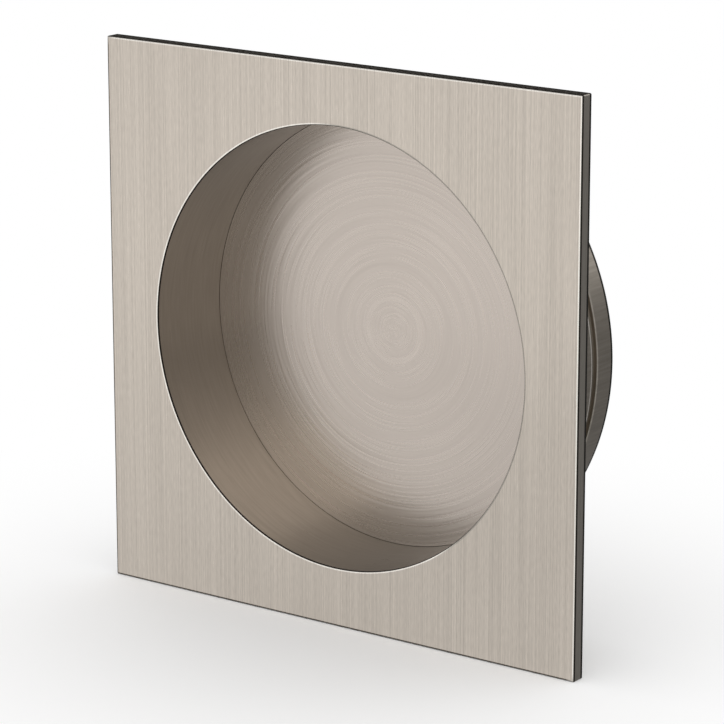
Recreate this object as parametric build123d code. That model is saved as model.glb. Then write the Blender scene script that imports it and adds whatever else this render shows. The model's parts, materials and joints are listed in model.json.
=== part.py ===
from build123d import *
import os

# Recessed pull handle for a sliding or cabinet door.
# A square face plate covers the rim of a round hole bored in the door, and the cup
# behind it fills that hole. Fingers go into the cup from the front and pull on its wall.
# Plate and cup are one casting, so the whole handle is a single solid.
#
# Frame: millimetres. The origin is on the cup's axis, on the back of the plate, which
# is the surface of the door. +Y goes into the door, +X is to the right as the handle is
# seen from the front, and +Z is up.

# Face plate
plate_side = 70.0           # width and height of the square plate
plate_thickness = 1.8       # how far the plate stands proud of the door
plate_edge_radius = 0.2     # eased edge round the front of the plate

# Cup behind the plate
cup_diameter = 60.5         # outside, a clearance fit in the hole in the door
cup_length = 13.4           # from the back of the plate to the back of the cup
cup_wall = 2.75             # between the finger recess and the outside of the cup
cup_floor = 2.8             # between the finger recess and the back of the cup
recess_lip_radius = 0.2     # eased edge where the recess opens in the front face
cup_back_chamfer = 0.3      # lead-in round the back of the cup

# Groove round the outside of the cup, which keys the adhesive that holds the handle
groove_width = 1.1
groove_depth = 0.4
groove_to_back = 3.6        # from the back of the cup to the near side of the groove
groove_edge_chamfer = 0.12  # broken edges at the mouth of the groove

# Sizes that follow from those above
cup_radius = cup_diameter / 2
recess_radius = cup_radius - cup_wall
recess_depth = plate_thickness + cup_length - cup_floor
groove_floor_radius = cup_radius - groove_depth
groove_back = cup_length - groove_to_back
groove_front = groove_back - groove_width

# Drawings on these planes are seen from the front: X to the right and Z up.
door_surface = Plane.XZ
front_surface = door_surface.offset(plate_thickness)


def face_plate():
    """Square plate with the edges of its front face eased."""
    with BuildPart() as plate:
        with BuildSketch(door_surface):
            Rectangle(plate_side, plate_side)
        extrude(amount=plate_thickness)
        front_face = plate.faces().sort_by(Axis.Y)[0]
        fillet(front_face.edges(), plate_edge_radius)
    return plate.part


def grooved_cup():
    """Cup, still solid, turned about its axis from half of its outline.

    The outline has the radius along X and the depth behind the plate along Y.
    """
    groove_mouth = [(cup_radius, groove_front), (cup_radius, groove_back)]
    back_rim = (cup_radius, cup_length)
    outline = [
        (0, 0),
        (cup_radius, 0),
        groove_mouth[0],
        (groove_floor_radius, groove_front),
        (groove_floor_radius, groove_back),
        groove_mouth[1],
        back_rim,
        (0, cup_length),
    ]
    with BuildPart() as cup:
        with BuildSketch(Plane.XY) as half:
            with BuildLine():
                Polyline(*outline, close=True)
            make_face()
            for corner in groove_mouth:
                chamfer(half.vertices().sort_by_distance(corner)[0], groove_edge_chamfer)
            chamfer(half.vertices().sort_by_distance(back_rim)[0], cup_back_chamfer)
        revolve(axis=Axis.Y)
    return cup.part


def pull_body():
    """Plate and cup in one, with the finger recess cut from the front and its lip eased."""
    with BuildPart() as pull:
        add(face_plate())
        add(grooved_cup())
        with BuildSketch(front_surface):
            Circle(recess_radius)
        extrude(amount=-recess_depth, mode=Mode.SUBTRACT)
        front_face = pull.faces().filter_by(Plane.XZ).sort_by(Axis.Y)[0]
        fillet(front_face.edges().filter_by(GeomType.CIRCLE), recess_lip_radius)
    return pull.part


os.makedirs("parts", exist_ok=True)
export_step(pull_body(), "parts/pull_body.step")
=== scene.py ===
import json
import math

import bpy
from bpy.props import FloatProperty, FloatVectorProperty, IntProperty, PointerProperty
from mathutils import Matrix, Vector


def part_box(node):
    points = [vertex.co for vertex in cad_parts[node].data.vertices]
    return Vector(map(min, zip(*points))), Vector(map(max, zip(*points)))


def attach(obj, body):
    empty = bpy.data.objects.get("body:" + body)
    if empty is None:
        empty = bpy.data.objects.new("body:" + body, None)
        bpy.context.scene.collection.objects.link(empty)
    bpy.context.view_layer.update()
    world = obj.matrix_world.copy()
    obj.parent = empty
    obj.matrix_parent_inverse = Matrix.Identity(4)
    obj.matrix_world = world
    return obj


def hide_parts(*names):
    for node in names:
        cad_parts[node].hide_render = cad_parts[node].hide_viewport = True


bl_info = {
    "name": "Recessed Pull Handle",
    "version": (1, 0, 0),
    "blender": (4, 5, 0),
    "location": "View3D > Sidebar > Pull Handle",
    "description": "Builds a brushed nickel finger pull with a square plate and a round recess",
    "category": "Add Mesh",
}

MM = 0.001  # in metres
PER_MM = 1000  # a noise of this scale changes about once in a millimetre
QUARTER_TURN = math.pi / 2

# The frame gives the size of the plate, how far the plate stands proud and how deep the cup goes.
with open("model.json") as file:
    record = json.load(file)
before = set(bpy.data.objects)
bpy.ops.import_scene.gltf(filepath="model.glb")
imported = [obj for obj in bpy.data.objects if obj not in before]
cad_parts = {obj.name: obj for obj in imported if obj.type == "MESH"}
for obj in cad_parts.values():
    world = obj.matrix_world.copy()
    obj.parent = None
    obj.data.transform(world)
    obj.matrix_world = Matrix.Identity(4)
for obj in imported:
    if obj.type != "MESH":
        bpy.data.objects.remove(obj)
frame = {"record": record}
LOWEST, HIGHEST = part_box("pull_body")
CUP_MOUNT = next(m for m in frame["record"]["mounts"] if m["name"] == "cup_outside")

# Each band of the body's outline has one finish, and this is the order of its material slots. Several
# finishes are painted light: the corner, shade, groove and mouth finishes are painted shade, the rub finish
# is a painted highlight, the edge and lip finishes carry a painted highlight on one side and the edge finish
# painted shade on the other, and the wall, side and cup finishes are painted darker as shade.
FINISHES = (
    "floor",
    "wall",
    "corner",
    "shade",
    "lip",
    "face",
    "edge",
    "side",
    "back",
    "cup",
    "rub",
    "groove",
    "mouth",
)
HIGHLIGHT_SHARE = 1 / 3  # how much of an eased edge, from the front face, takes the painted highlight of its side; the rest is a painted shade line
SHARP_BEND = math.radians(30)  # faces that meet at a greater angle keep a hard edge
SAME_PLACE = 0.0001 * MM  # points that are closer than this are one point

# The grain of the metal, and the faint patches under it
PATCH_SCALE = 60
PATCH_CONTRAST = 0.025
STREAK_ROUGHNESS = 0.6
GLOSS_SWING = 0.05  # how far the grain moves the metal's roughness either way
BUMP_STRENGTH = 0.1
BUMP_HEIGHT = 0.01 * MM

# The sides, seen from the axis, on which the metal is painted lighter: a painted highlight on the plate's
# edges and on the lip, and less painted shade on the recess wall
PLATE_LIT_SIDE = (1, 0, 1)
LIP_LIT_SIDE = (-0.94, 0, -0.34)
WALL_LIT_SIDE = (-0.88, 0, -0.47)

# The stage
FLOOR_REACH = 2.0  # from the axis to the floor's border, in metres
CARD_LIFT = 0.05 * MM  # how far the level cards lie above the floor
FILM_WIDTH = 36  # in millimetres


def length(name, description, default):
    """A length in metres that a user can change."""
    return FloatProperty(
        name=name, description=description, default=default, min=0, precision=5, unit="LENGTH"
    )


def amount(name, description, default, top=1.0):
    """A plain number from 0 to top that a user can change."""
    return FloatProperty(name=name, description=description, default=default, min=0, max=top)


def angle(name, description, degrees):
    """An angle that a user can change."""
    return FloatProperty(
        name=name, description=description, default=math.radians(degrees), subtype="ANGLE"
    )


def colour(name, description, default):
    """A colour that a user can change."""
    return FloatVectorProperty(
        name=name, description=description, default=default, size=3, min=0, max=1, subtype="COLOR"
    )


class PullShape(bpy.types.PropertyGroup):
    """Sizes of the handle."""

    plate_side: length("Plate side", "Width and height of the square plate", HIGHEST.x - LOWEST.x)
    plate_thickness: length("Plate thickness", "How far the plate stands proud of the door", -LOWEST.y)
    plate_edge_radius: length("Plate edge radius", "Eased edge round the plate's front", 0.2 * MM)
    cup_diameter: length("Cup diameter", "Outside of the cup", 2 * CUP_MOUNT["dims"]["r_mm"] * MM)
    cup_length: length("Cup length", "From the plate's back to the cup's back", HIGHEST.y)
    cup_wall: length("Cup wall", "Metal between the recess and the cup's outside", 2.75 * MM)
    cup_floor: length("Cup floor", "Metal between the recess and the cup's back", 2.8 * MM)
    cup_back_chamfer: length("Back chamfer", "Lead-in round the cup's back", 0.3 * MM)
    lip_radius: length("Lip radius", "Eased edge where the recess opens", 0.2 * MM)
    groove_width: length("Groove width", "Width of the groove round the cup", 1.1 * MM)
    groove_depth: length("Groove depth", "Depth of the groove round the cup", 0.4 * MM)
    groove_to_back: length("Groove to back", "From the cup's back to the groove", 3.6 * MM)
    groove_chamfer: length("Groove chamfer", "Broken edges at the groove's mouth", 0.12 * MM)
    # Painted highlight: a bright line painted on the cup in front of the groove
    painted_groove_highlight: length("Groove rub", "Width of the worn line on the cup in front of the groove", 0.16 * MM)
    # Painted highlight: a strip of the face beside the eased edges, which takes the same painted highlight
    # of its side as the edges
    highlight_strip: length("Bright line", "Width of the worn line beside the face's eased edges", 0.05 * MM)
    # Painted shade: a dark line where the recess wall meets the floor
    corner_shade_line: length("Corner line", "Width of the dull line where wall and floor meet", 0.05 * MM)
    # Painted shade: a dark line at the back of the plate's sides and of the cup
    back_shade_line: length("Back line", "Width of the dull line at the back of plate and cup", 0.36 * MM)
    steps_round: IntProperty(
        name="Steps round", description="Faces once round the cup", default=320, min=32
    )
    steps_of_arc: IntProperty(
        name="Steps of arc", description="Faces across each eased edge", default=6, min=2
    )


class PullFinish(bpy.types.PropertyGroup):
    """Colours and grain of the metal, with the painted highlights and painted shade on its edges, walls and
    groove.
    """

    face_colour: colour("Face colour", "Brushed front of the plate", (0.58, 0.522, 0.458))
    recess_colour: colour("Recess colour", "Turned floor of the recess", (0.575, 0.512, 0.46))
    # Painted shade: the recess wall and the cup are painted darker than the face; the next colour paints the
    # wall darker still, except at its lower left
    wall_colour: colour("Wall colour", "Recess wall where fingers rub it, and cup", (0.319, 0.286, 0.245))
    wall_shade_colour: colour("Unworn wall colour", "The rest of the recess wall", (0.258, 0.232, 0.198))
    # Painted shade: the plate's sides are painted darker than the face; the same colour is the lip's side
    # away from its painted highlight
    side_colour: colour("Side colour", "Sides of the plate, and the lip's unworn part", (0.37, 0.342, 0.302))
    back_colour: colour("Back colour", "Backs of the plate and the cup", (0.48, 0.44, 0.385))
    # Painted shade: the groove and its broken edges are painted as dark metal
    groove_shade_colour: colour("Groove colour", "Dull metal in the groove", (0.3, 0.265, 0.22))
    mouth_shade_colour: colour("Groove mouth colour", "Broken edges of the groove", (0.25, 0.23, 0.2))
    # Painted shade: the dark line where wall and floor meet, and the unlit side of the plate's eased edges
    dark_shade_colour: colour(
        "Corner colour", "Line where wall and floor meet, and the plate's unworn edges", (0.1, 0.085, 0.07)
    )
    # Painted shade: the dark lines on the far part of each eased edge, under the lip and at the backs of the
    # plate and the cup
    line_shade_colour: colour("Line colour", "Dark lines beside the eased edges", (0.028, 0.025, 0.021))
    # Painted highlight: the lit side of the eased edges and the lip, and the line in front of the groove
    highlight_colour: colour("Bright colour", "Edges that handling keeps bright", (0.93, 0.88, 0.81))
    roughness: amount("Roughness", "Roughness of the brushed faces", 0.3)
    anisotropy: amount("Anisotropy", "How far the brushing spreads reflections across its grain", 0.5)
    grain_contrast: amount("Grain contrast", "How strongly the grain lightens and darkens the metal", 0.31)
    ring_contrast: amount("Ring contrast", "The same for the rings on the recess's floor", 0.065)
    wall_contrast: amount("Wall contrast", "The same for the lines round the recess's wall", 0.12)
    # Grain on the painted highlight line in front of the groove
    highlight_contrast: amount("Rub contrast", "The same for the worn line in front of the groove", 0.1)


class PullStage(bpy.types.PropertyGroup):
    """Floor, light and camera."""

    floor_colour: colour("Floor colour", "Pale floor", (0.97, 0.97, 0.97))
    surround: amount("Surround", "Brightness of the white surround", 1.0, 5.0)
    clear_from: length("Clear from", "Where the floor starts to turn into the white surround", 0.015)
    clear_to: length("Clear to", "Where the floor has turned into the white surround", 0.09)
    mirrored: amount("Mirrored floor", "Brightness in the metal of the floor under the handle", 0.82)
    mirrored_to: length("Mirrored to", "Where the floor is white in the metal", 0.18)
    camera_place: FloatVectorProperty(
        name="Camera place",
        description="Where the camera stands",
        default=(0.2457, -0.33163, 0.1061),
        unit="LENGTH",
    )
    camera_yaw: angle("Camera yaw", "Turn to the left of straight ahead", 36.215)
    camera_pitch: angle("Camera pitch", "How far it looks down", 14.649)
    camera_roll: angle("Camera roll", "Turn about its own line of sight", -0.017)
    focal_length: FloatProperty(name="Focal length", description="In millimetres", default=174.94, min=1)


class NodeDesk:
    """Short calls that add nodes to a tree and link them."""

    def __init__(self, tree):
        self.tree = tree

    def feed(self, socket, value):
        """Links a socket, or gives it a constant."""
        if isinstance(value, bpy.types.NodeSocket):
            self.tree.links.new(value, socket)
        else:
            socket.default_value = value

    def add(self, kind, inputs=None, **settings):
        """A node with its settings and its inputs, which are named or numbered."""
        node = self.tree.nodes.new(kind)
        for name, value in settings.items():
            setattr(node, name, value)
        for name, value in (inputs or {}).items():
            self.feed(node.inputs[name], value)
        return node

    def math(self, operation, *values):
        """The output of a Math node."""
        return self.add("ShaderNodeMath", dict(enumerate(values)), operation=operation).outputs[0]

    def vector(self, operation, *values):
        """The output of a Vector Math node that gives a vector."""
        return self.add("ShaderNodeVectorMath", dict(enumerate(values)), operation=operation).outputs[0]

    def measure(self, operation, *values):
        """The output of a Vector Math node that gives a number."""
        node = self.add("ShaderNodeVectorMath", dict(enumerate(values)), operation=operation)
        return node.outputs["Value"]

    def scale(self, vector, factor):
        """A vector times a number."""
        inputs = {"Vector": vector, "Scale": factor}
        return self.add("ShaderNodeVectorMath", inputs, operation="SCALE").outputs[0]

    def ramp(self, value, start=0, stop=1, low=0, high=1, kind="LINEAR"):
        """A value that goes from low to high while another one goes from start to stop."""
        inputs = {"Value": value, "From Min": start, "From Max": stop, "To Min": low, "To Max": high}
        return self.add("ShaderNodeMapRange", inputs, interpolation_type=kind).outputs[0]

    def mix(self, share, first, second):
        """The output of a Mix node between two vectors."""
        node = self.add("ShaderNodeMix", data_type="VECTOR")
        self.feed(node.inputs[0], share)
        self.feed(node.inputs[4], first)
        self.feed(node.inputs[5], second)
        return node.outputs[1]

    def join(self, x, y, z):
        """A vector from its three parts."""
        return self.add("ShaderNodeCombineXYZ", {"X": x, "Y": y, "Z": z}).outputs[0]

    def split(self, vector):
        """The three parts of a vector."""
        return self.add("ShaderNodeSeparateXYZ", {0: vector}).outputs


def arc(centre, radius, start, stop, steps):
    """Points on an arc in the outline's plane, from one angle to another."""
    turns = [start + (stop - start) * i / steps for i in range(steps + 1)]
    return [(centre[0] + radius * math.cos(t), centre[1] + radius * math.sin(t)) for t in turns]


def body_outline(shape):
    """Half of the body's outline, from the middle of the recess's floor to the middle of the cup's back.

    Each ring is (radius, depth, square, finish): a square ring's radius is half of its side, and the
    finish is that of the band between this ring and the next one.
    """
    front = -shape.plate_thickness
    half = shape.plate_side / 2
    cup = shape.cup_diameter / 2
    recess = cup - shape.cup_wall
    floor = shape.cup_length - shape.cup_floor
    groove_back = shape.cup_length - shape.groove_to_back
    groove_front = groove_back - shape.groove_width
    groove_floor = cup - shape.groove_depth
    broken = shape.groove_chamfer
    lead_in = shape.cup_back_chamfer
    easing = shape.plate_edge_radius
    lip = shape.lip_radius
    beside = lip / 4  # rings this far beside an arc keep the flat faces' shading flat
    # The strip beside the eased edges carries their painted highlight, and the corner and back widths are
    # painted shade lines
    worn = shape.highlight_strip
    dull = shape.corner_shade_line
    rim = shape.back_shade_line
    arc_steps = shape.steps_of_arc

    def band_of(step, near):
        """The finish of a band on an eased edge, where bands are counted from the front face: the near bands
        take the painted highlight of their side, and the rest a painted shade line.
        """
        return near if step < HIGHLIGHT_SHARE * arc_steps else "shade"

    rings = [
        (0, floor, 0, "floor"),
        (recess - dull, floor, 0, "corner"),
        (recess, floor, 0, "wall"),
        (recess, front + lip + beside, 0, "shade"),
    ]
    lip_arc = arc((recess + lip, front + lip), lip, 2 * QUARTER_TURN, 3 * QUARTER_TURN, arc_steps)
    rings += [(r, d, 0, band_of(arc_steps - 1 - i, "lip")) for i, (r, d) in enumerate(lip_arc)]
    rings[-1] = (recess + lip, front, 0, "lip")
    rings += [(recess + lip + worn, front, 0, "face"), (half - easing - worn, front, 1, "edge")]
    edge_arc = arc((half - easing, front + easing), easing, -QUARTER_TURN, 0, arc_steps)
    rings += [(r, d, 1, band_of(i, "edge")) for i, (r, d) in enumerate(edge_arc)]
    rings += [
        (half, front + easing + beside, 1, "side"),
        (half, -rim, 1, "shade"),
        (half, 0, 1, "back"),
        (cup, 0, 0, "cup"),
        (cup, groove_front - broken - shape.painted_groove_highlight, 0, "rub"),
        (cup, groove_front - broken, 0, "mouth"),
        (cup - broken, groove_front, 0, "groove"),
        (groove_floor, groove_front, 0, "groove"),
        (groove_floor, groove_back, 0, "groove"),
        (cup - broken, groove_back, 0, "mouth"),
        (cup, groove_back + broken, 0, "cup"),
        (cup, shape.cup_length - lead_in - rim, 0, "shade"),
        (cup, shape.cup_length - lead_in, 0, "shade"),
        (cup - lead_in, shape.cup_length, 0, "back"),
        (0, shape.cup_length, 0, "back"),
    ]
    return rings


def outline_object(rings):
    """The outline as a chain of points that the ring tree reads, with each ring's form and finish."""
    mesh = bpy.data.meshes.new("pull_outline")
    edges = [(i, i + 1) for i in range(len(rings) - 1)]
    mesh.from_pydata([(r, d, 0) for r, d, _, _ in rings], edges, [])
    square = mesh.attributes.new("square", "FLOAT", "POINT")
    square.data.foreach_set("value", [s for _, _, s, _ in rings])
    finish = mesh.attributes.new("finish", "INT", "POINT")
    finish.data.foreach_set("value", [FINISHES.index(f) for _, _, _, f in rings])
    outline = bpy.data.objects.new("pull_outline", mesh)
    bpy.context.scene.collection.objects.link(outline)
    return outline


def ring_tree(materials):
    """Geometry nodes that carry an outline round the Y axis, on round rings and on square ones."""
    tree = bpy.data.node_groups.new("Rings Round Axis", "GeometryNodeTree")
    tree.interface.new_socket("Outline", in_out="INPUT", socket_type="NodeSocketGeometry")
    for name, kind in (
        ("Steps Round", "NodeSocketInt"),
        ("Corner Centre", "NodeSocketFloat"),
        ("Corner Share", "NodeSocketFloat"),
        ("Sharp Angle", "NodeSocketFloat"),
    ):
        tree.interface.new_socket(name, in_out="INPUT", socket_type=kind)
    tree.interface.new_socket("Body", in_out="OUTPUT", socket_type="NodeSocketGeometry")
    desk = NodeDesk(tree)
    given = desk.add("NodeGroupInput").outputs
    outline, steps = given["Outline"], given["Steps Round"]

    # A flat grid has one unit between rings and between steps, so a place on it says which they are.
    size = desk.add("GeometryNodeAttributeDomainSize", {"Geometry": outline}, component="MESH")
    count = size.outputs["Point Count"]
    bands = desk.math("SUBTRACT", count, 1)
    grid = desk.add(
        "GeometryNodeMeshGrid",
        {"Size X": bands, "Size Y": steps, "Vertices X": count, "Vertices Y": desk.math("ADD", steps, 1)},
    )
    place = desk.split(desk.add("GeometryNodeInputPosition").outputs[0])
    ring_place = desk.math("ADD", place["X"], desk.math("DIVIDE", bands, 2))
    ring = desk.math("ROUND", ring_place)
    step = desk.math("ROUND", desk.math("ADD", place["Y"], desk.math("DIVIDE", steps, 2)))

    def from_outline(kind, value, index):
        """What the outline holds at a ring."""
        inputs = {"Geometry": outline, "Index": index}
        sample = desk.add("GeometryNodeSampleIndex", inputs, data_type=kind, domain="POINT")
        desk.feed(sample.inputs["Value"], value)
        return sample.outputs["Value"]

    def stored(name, kind):
        """A named attribute."""
        attribute = desk.add("GeometryNodeInputNamedAttribute", {"Name": name}, data_type=kind)
        return attribute.outputs["Attribute"]

    finish_here = from_outline("INT", stored("finish", "INT"), desk.math("FLOOR", ring_place))
    marked = desk.add("GeometryNodeCaptureAttribute", {"Geometry": grid.outputs["Mesh"]}, domain="FACE")
    marked.capture_items.new("INT", "Finish")
    desk.feed(marked.inputs["Finish"], finish_here)

    outline_place = desk.add("GeometryNodeInputPosition").outputs[0]
    profile = desk.split(from_outline("FLOAT_VECTOR", outline_place, ring))
    radius, depth = profile["X"], profile["Y"]
    square = from_outline("FLOAT", stored("square", "FLOAT"), ring)

    turn = desk.math("DIVIDE", step, steps)
    way_round = desk.math("MULTIPLY", turn, 4 * QUARTER_TURN)
    round_place = desk.join(
        desk.math("MULTIPLY", radius, desk.math("COSINE", way_round)),
        desk.math("MULTIPLY", radius, desk.math("SINE", way_round)),
        0,
    )

    # A square ring is worked out for one quarter, from -1 at the middle of one side to 1 at the middle
    # of the next with the rounded corner between, and then turned to its own quarter.
    quarters = desk.math("MULTIPLY", turn, 4)
    quarter = desk.math("FLOOR", quarters)
    along = desk.math("SUBTRACT", desk.math("MULTIPLY", desk.math("SUBTRACT", quarters, quarter), 2), 1)
    share = given["Corner Share"]
    swing = desk.math("MINIMUM", desk.math("MAXIMUM", desk.math("DIVIDE", along, share), -1), 1)
    corner_angle = desk.math("MULTIPLY", desk.math("ADD", swing, 1), QUARTER_TURN / 2)
    past_corner = desk.math("MAXIMUM", desk.math("SUBTRACT", desk.math("ABSOLUTE", along), share), 0)
    run = desk.math("DIVIDE", past_corner, desk.math("SUBTRACT", 1, share))
    centre = desk.math("MINIMUM", radius, given["Corner Centre"])
    corner_radius = desk.math("SUBTRACT", radius, centre)
    back_off = desk.math("MULTIPLY", centre, run)

    def side_place(wave, on_this_side):
        """One coordinate of a point on the quarter: its corner's arc, less its way along the side."""
        reach = desk.math("ADD", centre, desk.math("MULTIPLY", corner_radius, desk.math(wave, corner_angle)))
        return desk.math("SUBTRACT", reach, desk.math("MULTIPLY", back_off, on_this_side))

    quarter_place = desk.join(
        side_place("COSINE", desk.math("GREATER_THAN", along, 0)),
        side_place("SINE", desk.math("LESS_THAN", along, 0)),
        0,
    )
    square_place = desk.add(
        "ShaderNodeVectorRotate",
        {"Vector": quarter_place, "Angle": desk.math("MULTIPLY", quarter, QUARTER_TURN)},
        rotation_type="Z_AXIS",
    ).outputs[0]
    flat = desk.split(desk.mix(square, round_place, square_place))
    moved = desk.add(
        "GeometryNodeSetPosition",
        {"Geometry": marked.outputs["Geometry"], "Position": desk.join(flat["X"], depth, flat["Y"])},
    )
    merged = desk.add("GeometryNodeMergeByDistance", {"Geometry": moved.outputs[0], "Distance": SAME_PLACE})

    smooth = desk.add(
        "GeometryNodeSetShadeSmooth",
        {"Geometry": merged.outputs[0], "Shade Smooth": True},
        domain="FACE",
    )
    bend = desk.add("GeometryNodeInputMeshEdgeAngle").outputs["Unsigned Angle"]
    sharp = desk.add(
        "GeometryNodeSetShadeSmooth",
        {
            "Geometry": smooth.outputs[0],
            "Selection": desk.math("GREATER_THAN", bend, given["Sharp Angle"]),
            "Shade Smooth": False,
        },
        domain="EDGE",
    )
    geometry = desk.add("GeometryNodeRealizeInstances", {"Geometry": sharp.outputs[0]}).outputs[0]
    for index, name in enumerate(FINISHES):
        here = desk.add("FunctionNodeCompare", data_type="INT", operation="EQUAL")
        desk.feed(here.inputs[2], marked.outputs["Finish"])
        desk.feed(here.inputs[3], index)
        painted = desk.add(
            "GeometryNodeSetMaterial",
            {"Geometry": geometry, "Selection": here.outputs[0], "Material": materials[name]},
        )
        geometry = painted.outputs[0]
    desk.feed(desk.add("NodeGroupOutput").inputs["Body"], geometry)
    return tree


def set_inputs(modifier, values):
    """Gives a Geometry Nodes modifier its inputs by their sockets' identifiers."""
    for item in modifier.node_group.interface.items_tree:
        if item.item_type == "SOCKET" and item.in_out == "INPUT" and item.name in values:
            modifier[item.identifier] = values[item.name]


def plain_mesh(source, name):
    """A new object with the evaluated mesh of source, which is then removed."""
    bpy.context.view_layer.update()
    depsgraph = bpy.context.evaluated_depsgraph_get()
    mesh = bpy.data.meshes.new_from_object(source.evaluated_get(depsgraph), depsgraph=depsgraph)
    mesh.name = name
    if mesh.materials[0] is None:
        mesh.materials.pop(index=0)  # the empty slot that a grid starts with
    old = source.data
    bpy.data.objects.remove(source)
    bpy.data.meshes.remove(old)
    piece = bpy.data.objects.new(name, mesh)
    bpy.context.scene.collection.objects.link(piece)
    return piece


def new_material(name):
    """A material, and a desk that adds nodes to it."""
    material = bpy.data.materials.new(name)
    material.use_nodes = True
    return material, NodeDesk(material.node_tree)


def towards(direction, first, second, start, stop):
    """A colour that turns from first into second on the side of the handle that a direction names."""

    def tone(desk, place):
        there = desk.ramp(desk.measure("DOT_PRODUCT", place, direction), start, stop)
        return desk.mix(there, tuple(first), tuple(second))

    return tone


def metal(name, base, roughness, grain, contrast=None, across=None, relief=None):
    """Metal whose grain is built as a value from 0 to 1.

    The base is a colour, or a function that builds one where it isn't the same all over. across builds
    the direction over the grain, in which brushed metal spreads its reflections. relief builds a height
    in hundredths of a millimetre, where it isn't that of the grain.
    """
    finish = bpy.context.scene.pull_finish
    if contrast is None:
        contrast = finish.grain_contrast
    material, desk = new_material(name)
    shader = desk.tree.nodes["Principled BSDF"]
    place = desk.add("ShaderNodeTexCoord").outputs["Object"]
    value = grain(desk, place)
    patches = desk.add("ShaderNodeTexNoise", {"Vector": place, "Scale": PATCH_SCALE, "Detail": 1})
    cloud = desk.ramp(patches.outputs[0], low=1 - PATCH_CONTRAST, high=1 + PATCH_CONTRAST)
    lines = desk.ramp(value, low=1 - contrast, high=1 + contrast)
    tone = base(desk, place) if callable(base) else tuple(base)
    desk.feed(shader.inputs["Base Color"], desk.scale(tone, desk.math("MULTIPLY", lines, cloud)))
    rough = desk.ramp(value, low=roughness + GLOSS_SWING, high=roughness - GLOSS_SWING)
    desk.feed(shader.inputs["Roughness"], rough)
    height = relief(desk, place) if relief else value
    bump = desk.add("ShaderNodeBump", {"Height": height, "Strength": BUMP_STRENGTH, "Distance": BUMP_HEIGHT})
    desk.feed(shader.inputs["Normal"], bump.outputs[0])
    shader.inputs["Metallic"].default_value = 1
    if across:
        shader.inputs["Anisotropic"].default_value = finish.anisotropy
        desk.feed(shader.inputs["Tangent"], across(desk, place))
    return material


def level(x, y, z):
    """Across the grain in one fixed direction."""
    return lambda desk, place: desk.join(x, y, z)


def spoke(desk, place):
    """The direction from the axis to a place on the metal, and how far away the place is."""
    part = desk.split(place)
    out = desk.join(part["X"], 0, part["Z"])
    return desk.vector("NORMALIZE", out), desk.measure("LENGTH", out)


def outward(desk, place):
    """Across the grain away from the axis."""
    return spoke(desk, place)[0]


def round_axis(desk, place):
    """Across the grain round the axis."""
    return desk.vector("NORMALIZE", desk.vector("CROSS_PRODUCT", place, (0, 1, 0)))


def streaks(desk, vector, detail=1.5):
    """Noise in coordinates that are already stretched along the grain."""
    inputs = {"Vector": vector, "Scale": 1, "Detail": detail, "Roughness": STREAK_ROUGHNESS}
    return desk.add("ShaderNodeTexNoise", inputs).outputs[0]


def ring_streaks(desk, place, scale, detail):
    """Noise that is drawn out into rings about the axis, and whose scale counts away from it."""
    out, reach = spoke(desk, place)
    side = desk.split(out)
    return streaks(desk, desk.join(desk.math("MULTIPLY", reach, scale), side["X"], side["Z"]), detail)


def blend(desk, *parts):
    """The sum of some values, each with its own share."""
    total = None
    for value, share in parts:
        term = desk.math("MULTIPLY", value, share)
        total = term if total is None else desk.math("ADD", total, term)
    return total


def hump(desk, value, middle, half_width):
    """1 where a value is at the middle, falling to 0 at half a width away."""
    away = desk.math("ABSOLUTE", desk.math("SUBTRACT", value, middle))
    return desk.ramp(away, stop=half_width, low=1, high=0, kind="SMOOTHSTEP")


def straight_grain(desk, place):
    """Fine upright lines, some a millimetre long and some as long as the plate."""
    short = streaks(desk, desk.vector("MULTIPLY", place, (14 * PER_MM, 14 * PER_MM, PER_MM)), 0)
    long = streaks(desk, desk.vector("MULTIPLY", place, (12 * PER_MM, 12 * PER_MM, 0.03 * PER_MM)), 0)
    return blend(desk, (short, 0.4), (long, 0.6))


def ring_grain(desk, place):
    """Rings about the axis, as a turning tool leaves them, with a bright and a dull one near the middle."""
    thin = ring_streaks(desk, place, scale=4 * PER_MM, detail=0.5)
    broad = ring_streaks(desk, place, scale=1.5 * PER_MM, detail=0)
    reach = spoke(desk, place)[1]
    bright = hump(desk, reach, middle=3.9 * MM, half_width=0.7 * MM)
    dull = hump(desk, reach, middle=8.4 * MM, half_width=0.9 * MM)
    return blend(desk, (thin, 0.7), (broad, 0.3), (bright, 0.22), (dull, -0.18))


def ring_relief(desk, place):
    """Shallow steps that the turning tool leaves, which bend the reflections."""
    step_height = 25
    return desk.math("MULTIPLY", ring_streaks(desk, place, scale=1.8 * PER_MM, detail=1), step_height)


def wall_grain(desk, place):
    """Fine lines round the recess's wall, which change about five times in a radian."""
    round_wall = desk.scale(spoke(desk, place)[0], 5)
    into_wall = desk.math("MULTIPLY", desk.split(place)["Y"], 3 * PER_MM)
    return streaks(desk, desk.vector("ADD", round_wall, desk.join(0, into_wall, 0)))


def cup_grain(desk, place):
    """Fine lines along the outside of the cup, from front to back."""
    return streaks(desk, desk.vector("MULTIPLY", place, (3 * PER_MM, 0.15 * PER_MM, 3 * PER_MM)))


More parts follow.
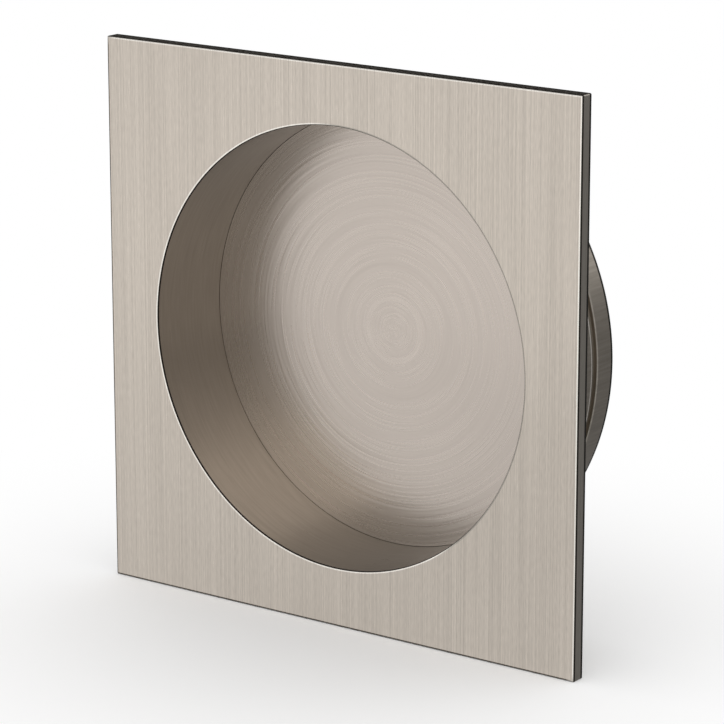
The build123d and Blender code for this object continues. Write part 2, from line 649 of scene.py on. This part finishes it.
def finish_materials():
    """One material for each finish."""
    finish = bpy.context.scene.pull_finish
    bright = finish.highlight_colour
    brushed = finish.roughness
    turned = brushed - 0.02
    polished = brushed - 0.1
    plain = brushed + 0.1
    # Painted highlight and shade by side: the plate's eased edges are painted bright at the top and right
    # and dark at the left and bottom, the lip bright on its left and bottom, and the recess wall darker away
    # from its lower left
    edge_tone = towards(PLATE_LIT_SIDE, finish.dark_shade_colour, bright, -MM, MM)
    lip_tone = towards(LIP_LIT_SIDE, finish.side_colour, bright, -10 * MM, -6 * MM)
    wall_tone = towards(WALL_LIT_SIDE, finish.wall_shade_colour, finish.wall_colour, 8 * MM, 18 * MM)
    over_x = level(1, 0, 0)
    over_y = level(0, 1, 0)
    return {
        "floor": metal(
            "turned_floor",
            finish.recess_colour,
            turned,
            ring_grain,
            finish.ring_contrast,
            across=outward,
            relief=ring_relief,
        ),
        "wall": metal("turned_wall", wall_tone, brushed, wall_grain, finish.wall_contrast, across=over_y),
        # The corner, shade, groove and mouth finishes are painted shade, and the rub finish a painted
        # highlight
        "corner": metal("painted_corner_shade", finish.dark_shade_colour, plain, wall_grain),
        "shade": metal("painted_shade_line", finish.line_shade_colour, brushed, straight_grain),
        "edge": metal("plate_edge", edge_tone, polished, straight_grain),
        "lip": metal("recess_lip", lip_tone, polished, straight_grain),
        "face": metal("brushed_face", finish.face_colour, brushed, straight_grain, across=over_x),
        "side": metal("plate_side", finish.side_colour, brushed, straight_grain, across=over_y),
        "back": metal("cast_back", finish.back_colour, plain, straight_grain),
        "cup": metal("cup_outside", finish.wall_colour, brushed, cup_grain, across=round_axis),
        "rub": metal("painted_groove_highlight", bright, brushed, cup_grain, finish.highlight_contrast),
        "mouth": metal("groove_mouth", finish.mouth_shade_colour, brushed, cup_grain),
        "groove": metal("groove_metal", finish.groove_shade_colour, plain, wall_grain),
    }


class PULL_OT_body(bpy.types.Operator):
    """Builds the plate and the cup as one closed mesh"""

    bl_idname = "pull.body"
    bl_label = "Pull Body"

    def execute(self, context):
        shape = context.scene.pull_shape
        outline = outline_object(body_outline(shape))
        modifier = outline.modifiers.new("Rings", "NODES")
        modifier.node_group = ring_tree(finish_materials())
        corner_steps = 2 * shape.steps_of_arc
        set_inputs(
            modifier,
            {
                "Steps Round": shape.steps_round,
                "Corner Centre": shape.plate_side / 2 - shape.plate_edge_radius,
                "Corner Share": corner_steps / (shape.steps_round / 4),
                "Sharp Angle": SHARP_BEND,
            },
        )
        body = plain_mesh(outline, "pull_body_metal")
        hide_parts("pull_body")
        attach(body, "root")
        return {"FINISHED"}


def sheet(name, corners, material):
    """A flat sheet that belongs to the stage."""
    mesh = bpy.data.meshes.new(name)
    mesh.from_pydata(corners, [], [tuple(range(len(corners)))])
    mesh.materials.append(material)
    item = bpy.data.objects.new(name, mesh)
    bpy.context.scene.collection.objects.link(item)
    return item


def floor_material(stage):
    """Pale floor that keeps the shadow and turns into the white surround further out."""
    material, desk = new_material("pale_floor")
    matt = desk.tree.nodes["Principled BSDF"]
    matt.inputs["Base Color"].default_value = (*stage.floor_colour, 1)
    matt.inputs["Roughness"].default_value = 1
    matt.inputs["Specular IOR Level"].default_value = 0
    place = desk.add("ShaderNodeTexCoord").outputs["Object"]
    away = desk.measure("LENGTH", desk.vector("MULTIPLY", place, (1, 1, 0)))

    ray = desk.add("ShaderNodeLightPath").outputs
    in_metal = desk.math("MAXIMUM", ray["Is Glossy Ray"], ray["Is Transmission Ray"])
    clear = desk.ramp(away, stage.clear_from, stage.clear_to, kind="SMOOTHSTEP")
    by_eye = desk.math("MULTIPLY", ray["Is Camera Ray"], clear)
    mirrored = desk.ramp(away, stop=stage.mirrored_to, low=stage.mirrored)
    brightness = desk.math("MAXIMUM", ray["Is Camera Ray"], mirrored)
    white = desk.add("ShaderNodeEmission", {"Color": (1, 1, 1, 1)})
    desk.feed(white.inputs["Strength"], desk.math("MULTIPLY", brightness, stage.surround))
    mix = desk.add("ShaderNodeMixShader", {0: desk.math("MAXIMUM", by_eye, in_metal)})
    desk.feed(mix.inputs[1], matt.outputs[0])
    desk.feed(mix.inputs[2], white.outputs[0])
    desk.feed(desk.tree.nodes["Material Output"].inputs["Surface"], mix.outputs[0])
    return material


def card(name, corners, brightness):
    """A card beside the object that only the metal's reflections show."""
    material, desk = new_material(name)
    glow = desk.add("ShaderNodeEmission", {"Color": (1, 1, 1, 1), "Strength": brightness}).outputs[0]
    desk.feed(desk.tree.nodes["Material Output"].inputs["Surface"], glow)
    item = sheet(name, corners, material)
    item.visible_camera = False
    item.visible_diffuse = False
    item.visible_shadow = False
    item.visible_transmission = False


def lying(corners, z):
    """Corners of a level sheet."""
    return [(x, y, z) for x, y in corners]


def standing(left, right, y, low, high):
    """Corners of an upright card that faces the object from the front or from behind."""
    return [(left, y, low), (right, y, low), (right, y, high), (left, y, high)]


def place_cards():
    """The grey and bright cards that the metal mirrors, with places in metres from the handle's axis."""
    ground = LOWEST.z
    on_floor = ground + CARD_LIFT
    behind_right = [
        (0.036, -0.002),
        (0.3, -0.002),
        (0.7, 0.25),
        (0.7, 0.7),
        (0.13, 0.7),
        (0.02, 0.03),
        (0.02, 0.004),
    ]
    front = [(-0.05, -0.09), (-0.03, -0.05), (0, -0.004), (0.35, -0.004), (0.35, -0.3), (0.01, -0.3)]
    far_left = [(-0.6, -0.05), (-0.12, -0.05), (-0.12, 0.1), (-0.6, 0.1)]
    card("card_behind_left", standing(left=-0.6, right=0.03, y=0.25, low=0.03, high=0.4), 0.0)
    card("card_behind_right", lying(behind_right, on_floor), 0.27)
    card("card_right", standing(left=0.13, right=0.9, y=0.6, low=ground, high=0.12), 0.28)
    card("card_front", lying(front, on_floor), 0.81)
    card("card_front_right", standing(left=0.1, right=0.45, y=-0.3, low=ground, high=0.09), 0.6)
    card("card_left", lying(far_left, on_floor), 0.1)
    card("card_front_left", standing(left=-0.6, right=-0.1, y=-0.4, low=0.03, high=0.3), 0.65)
    card("card_front_above", standing(left=-0.14, right=0.25, y=-0.4, low=0.19, high=0.5), 2.0)


def camera_matrix(stage):
    """The camera's place and turn: it looks along +Y, turned left by its yaw and down by its pitch."""
    yaw, pitch, roll = stage.camera_yaw, stage.camera_pitch, stage.camera_roll
    right = Vector((math.cos(yaw), math.sin(yaw), 0))
    ahead = Vector((-math.sin(yaw) * math.cos(pitch), math.cos(yaw) * math.cos(pitch), -math.sin(pitch)))
    up = right.cross(ahead)
    right, up = right * math.cos(roll) + up * math.sin(roll), up * math.cos(roll) - right * math.sin(roll)
    turn = Matrix((right, up, -ahead)).transposed().to_4x4()
    return Matrix.Translation(stage.camera_place) @ turn


class PULL_OT_stage(bpy.types.Operator):
    """Sets up the floor, the cards, the white surround and the camera"""

    bl_idname = "pull.stage"
    bl_label = "Photo Stage"

    def execute(self, context):
        scene = context.scene
        stage = scene.pull_stage
        far = FLOOR_REACH
        corners = lying([(-far, -far), (far, -far), (far, far), (-far, far)], LOWEST.z)
        sheet("floor", corners, floor_material(stage))
        place_cards()

        world = bpy.data.worlds.new("white_surround")
        world.use_nodes = True
        background = world.node_tree.nodes["Background"]
        background.inputs["Color"].default_value = (1, 1, 1, 1)
        background.inputs["Strength"].default_value = stage.surround
        scene.world = world
        scene.view_settings.view_transform = "Standard"

        data = bpy.data.cameras.new("camera")
        data.lens = stage.focal_length
        data.sensor_width = FILM_WIDTH
        camera = bpy.data.objects.new("camera", data)
        scene.collection.objects.link(camera)
        camera.matrix_world = camera_matrix(stage)
        scene.camera = camera
        return {"FINISHED"}


class PULL_PT_panel(bpy.types.Panel):
    """Lists the handle's sizes, finishes and builders"""

    bl_idname = "PULL_PT_panel"
    bl_label = "Recessed Pull Handle"
    bl_space_type = "VIEW_3D"
    bl_region_type = "UI"
    bl_category = "Pull Handle"

    def draw(self, context):
        for group, operator in (
            ("pull_shape", "pull.body"),
            ("pull_finish", None),
            ("pull_stage", "pull.stage"),
        ):
            box = self.layout.box()
            settings = getattr(context.scene, group)
            for name in settings.bl_rna.properties.keys():
                if name not in ("rna_type", "name"):
                    box.prop(settings, name)
            if operator:
                box.operator(operator)


CLASSES = (PullShape, PullFinish, PullStage, PULL_OT_body, PULL_OT_stage, PULL_PT_panel)


def register():
    for cls in CLASSES:
        bpy.utils.register_class(cls)
    bpy.types.Scene.pull_shape = PointerProperty(type=PullShape)
    bpy.types.Scene.pull_finish = PointerProperty(type=PullFinish)
    bpy.types.Scene.pull_stage = PointerProperty(type=PullStage)


def unregister():
    del bpy.types.Scene.pull_stage
    del bpy.types.Scene.pull_finish
    del bpy.types.Scene.pull_shape
    for cls in reversed(CLASSES):
        bpy.utils.unregister_class(cls)


def main():
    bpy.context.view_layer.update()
    register()
    bpy.ops.pull.body()
    bpy.ops.pull.stage()


if __name__ == "__main__":
    main()
